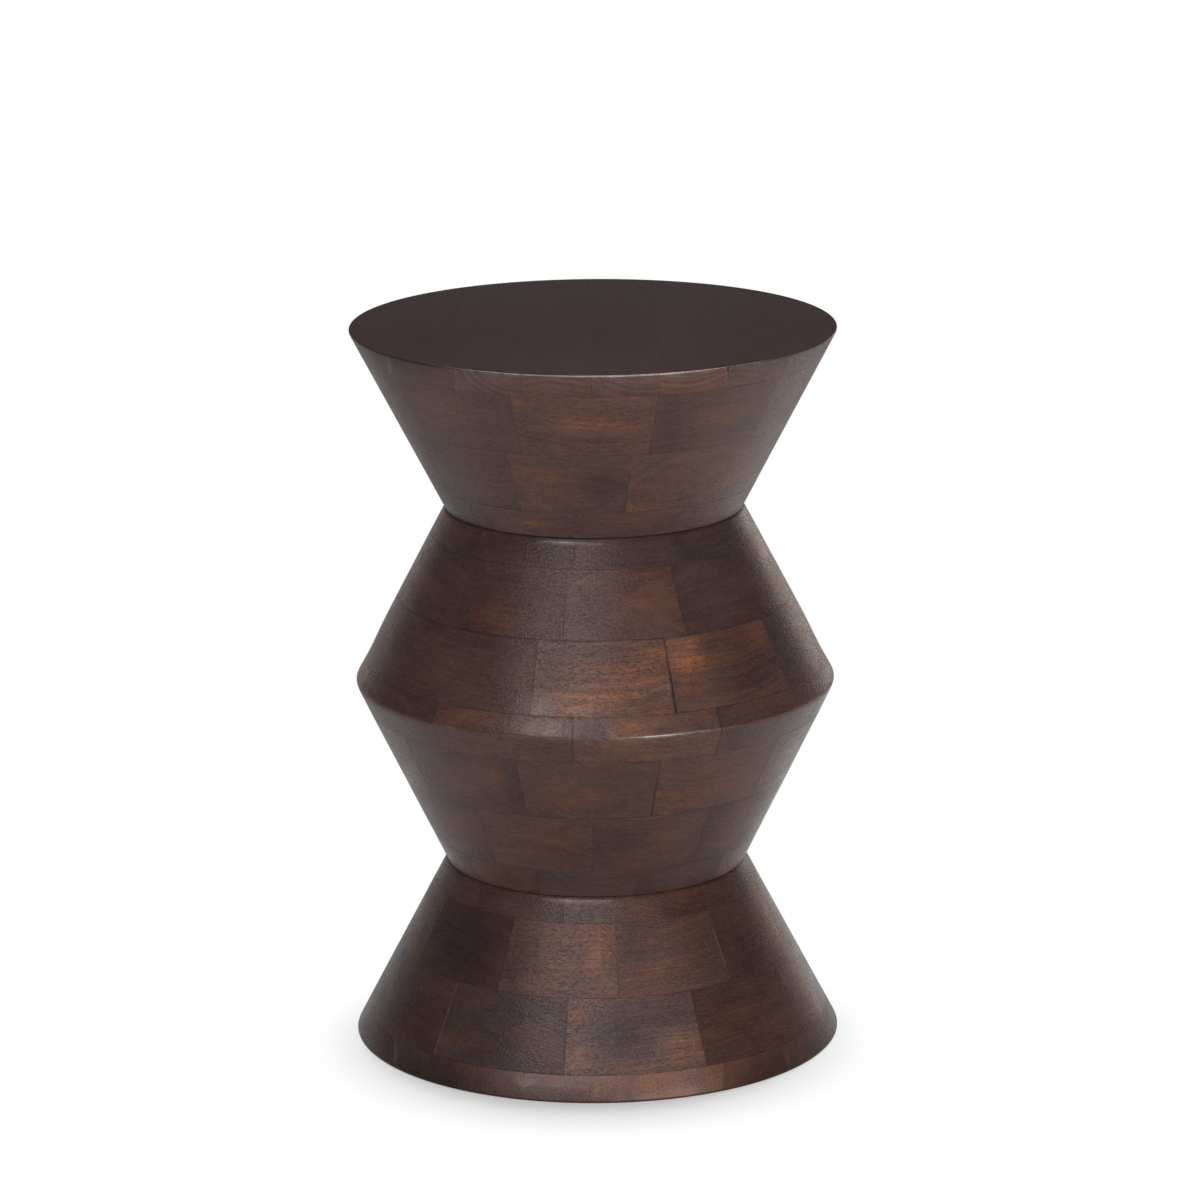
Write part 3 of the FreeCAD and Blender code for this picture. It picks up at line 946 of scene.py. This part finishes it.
print("stage: wood")
turned = makeWood("stained_turned_wood", turnedWood)
undercut = makeWood("stained_undercut_wood", undercutWood)
endGrain = makeWood("stained_end_grain", endGrainWood)
footEdge = makeWood("stained_foot_edge", footWood)
tableTop = makeWood("lacquered_table_top", tableTopWood)
underside = makeWood("stained_underside", undersideWood)

print("stage: rings of blocks")
for node, ring in rings.items():
    makeRing(node, ring, undercut if node in undercutRings else turned)

print("stage: round panels")
for node, settings in panels.items():
    isTop = settings["roundedEnd"] == "top"
    makePanel(node, settings, endGrain if isTop else footEdge, tableTop if isTop else underside)


# Floor, light and camera
studio = {
    "floorRadius": 14.0,
    "floorWhite": 0.88,
    # A share of the floor's white isn't darkened by shadows. It grows from its least beside the foot to all
    # of it: once all round the foot, and once round a place nearer the camera.
    "footShadow": {"middle": (0, 0, 0), "from": 0.172, "to": 0.194, "least": 0.955},
    "frontShadow": {"middle": (-0.003, -0.040, 0), "from": 0.130, "to": 0.206, "least": 0.30},
    # Close before the foot a contact shadow is painted into the floor, into its colour and its glow
    "paintedContactShadow": {"middle": (-0.005, -0.030, 0), "from": 0.137, "to": 0.168, "least": 0.76},
    # In reflections the floor's glow is dimmed by painted shade: close to the table as its shadow, and far
    # off behind it on the left
    "nearMirror": {"middle": (0, 0, 0), "from": 0.20, "to": 0.45, "least": 0.60},
    "farMirror": {"direction": (-0.6, 1, 0), "from": -0.05, "to": 0.95, "least": 0.44},
    "skyLow": 0.42,
    "skyHigh": 0.07,
    "horizonHeight": 0.10,  # up to here the sky goes from low to high
    "lampAim": 0.25,        # the height that the lamps are aimed at
}

# Where each lamp stands: degrees to the right of the front, degrees up and metres away from the table, then
# its width and height in metres, how bright its face is, and its colour where it isn't white
lamps = {
    "front_softbox": {"side": -17, "up": 37, "away": 3.2, "size": (2.6, 1.4), "glow": 4.9},
    "front_fill": {"side": 30, "up": 10, "away": 3.0, "size": (2.6, 1.1), "glow": 4.0},
    "top_softbox": {"side": 0, "up": 89, "away": 2.6, "size": (2.4, 2.4), "glow": 1.2},
    "back_softbox": {"side": 175, "up": 64, "away": 3.2, "size": (2.8, 1.3), "glow": 3.0},
    "right_softbox": {"side": 149, "up": 4, "away": 2.8, "size": (1.0, 0.95), "glow": 1.6,
                      "colour": (1, 0.78, 0.68)},
    "left_softbox": {"side": -150, "up": 3, "away": 2.8, "size": (0.9, 0.9), "glow": 0.32,
                     "colour": (1, 0.72, 0.62)},
}


def makeFloor():
    bm = bmesh.new()
    bmesh.ops.create_circle(bm, cap_ends=True, segments=96, radius=studio["floorRadius"])
    mesh = bpy.data.meshes.new("studio_floor")
    bm.to_mesh(mesh)
    bm.free()
    floor = bpy.data.objects.new("studio_floor", mesh)
    bpy.context.scene.collection.objects.link(floor)
    material = bpy.data.materials.new("white_floor")
    material.use_nodes = True
    tree = material.node_tree
    tree.nodes.clear()
    place = addNode(tree, "TexCoord").outputs["Object"]

    def fadeRound(shadow, most=1.0):
        away = vectorSums(tree, "DISTANCE", place, shadow["middle"])
        return smoothStep(tree, away, shadow["from"], shadow["to"], shadow["least"] * most, most)

    # The floor's colour, with the painted contact shadow
    white = fadeRound(studio["paintedContactShadow"], studio["floorWhite"])
    lit = addNode(tree, "BsdfDiffuse", {"Color": white}).outputs[0]
    rays = addNode(tree, "LightPath").outputs
    far = studio["farMirror"]
    # Painted shade on the floor as reflections see it
    behind = vectorSums(tree, "DOT_PRODUCT", place, far["direction"])
    dimmed = smoothStep(tree, behind, far["from"], far["to"], 1.0, far["least"])
    dimmed = sums(tree, "MULTIPLY", fadeRound(studio["nearMirror"]), dimmed)
    strength = sums(tree, "MAXIMUM", rays["Is Camera Ray"], dimmed)
    # The painted contact shadow darkens the glow as well
    strength = sums(tree, "MULTIPLY", strength, fadeRound(studio["paintedContactShadow"]))
    glow = addNode(tree, "Emission", {"Color": (1, 1, 1, 1), "Strength": strength}).outputs[0]
    mirrored = sums(tree, "MAXIMUM", rays["Is Glossy Ray"], rays["Is Transmission Ray"])
    share = sums(tree, "MAXIMUM", rays["Is Camera Ray"], mirrored)
    for shadow in (studio["footShadow"], studio["frontShadow"]):
        share = sums(tree, "MULTIPLY", share, fadeRound(shadow))
    surface = addNode(tree, "MixShader", {0: share, 1: lit, 2: glow}).outputs[0]
    tree.links.new(surface, addNode(tree, "OutputMaterial").inputs["Surface"])
    mesh.materials.append(material)


def makeSky():
    world = bpy.data.worlds.new("studio")
    bpy.context.scene.world = world
    world.use_nodes = True
    tree = world.node_tree
    tree.nodes.clear()
    direction = addNode(tree, "TexCoord").outputs["Generated"]
    up = addNode(tree, "SeparateXYZ", {0: direction}).outputs["Z"]
    strength = smoothStep(tree, up, 0.0, studio["horizonHeight"], studio["skyLow"], studio["skyHigh"])
    sky = addNode(tree, "Background", {"Color": (1, 1, 1, 1), "Strength": strength}).outputs[0]
    tree.links.new(sky, addNode(tree, "OutputWorld").inputs["Surface"])


def makeLamp(name, lamp):
    light = bpy.data.lights.new(name, "AREA")
    light.shape = "RECTANGLE"
    light.size, light.size_y = lamp["size"]
    light.energy = lamp["glow"] * math.pi * light.size * light.size_y
    light.color = lamp.get("colour", (1, 1, 1))
    holder = bpy.data.objects.new(name, light)
    around, up = math.radians(frontAngle + lamp["side"]), math.radians(lamp["up"])
    aim = Vector((0, 0, studio["lampAim"]))
    holder.location = aim + lamp["away"] * polarPoint(math.cos(up), around, math.sin(up))
    holder.rotation_euler = (aim - holder.location).to_track_quat("-Z", "Y").to_euler()
    holder.visible_camera = False
    bpy.context.scene.collection.objects.link(holder)


# The photo's own view, with a long lens
cameraView = {
    "aim": (0.0037, 0.0, 0.31184),
    "distance": 3.78777,
    "down": 14.347,       # degrees
    "roll": -0.384,
    "lens": 162.3,
    "sensor": 36.0,
    "clipEnd": 100.0,
}


def makeCamera():
    camera = bpy.data.objects.new("camera", bpy.data.cameras.new("camera"))
    camera.data.lens = cameraView["lens"]
    camera.data.sensor_width = cameraView["sensor"]
    camera.data.clip_end = cameraView["clipEnd"]
    turn = Euler((math.radians(90 - cameraView["down"]), 0, 0)).to_matrix()
    turn = turn @ Matrix.Rotation(math.radians(cameraView["roll"]), 3, "Z")
    backwards = turn @ Vector((0, 0, 1))
    camera.location = Vector(cameraView["aim"]) + backwards * cameraView["distance"]
    camera.rotation_euler = turn.to_euler()
    bpy.context.scene.collection.objects.link(camera)
    bpy.context.scene.camera = camera


print("stage: studio")
makeFloor()
makeSky()
for name, lamp in lamps.items():
    makeLamp(name, lamp)
makeCamera()
bpy.context.scene.view_settings.view_transform = "Standard"
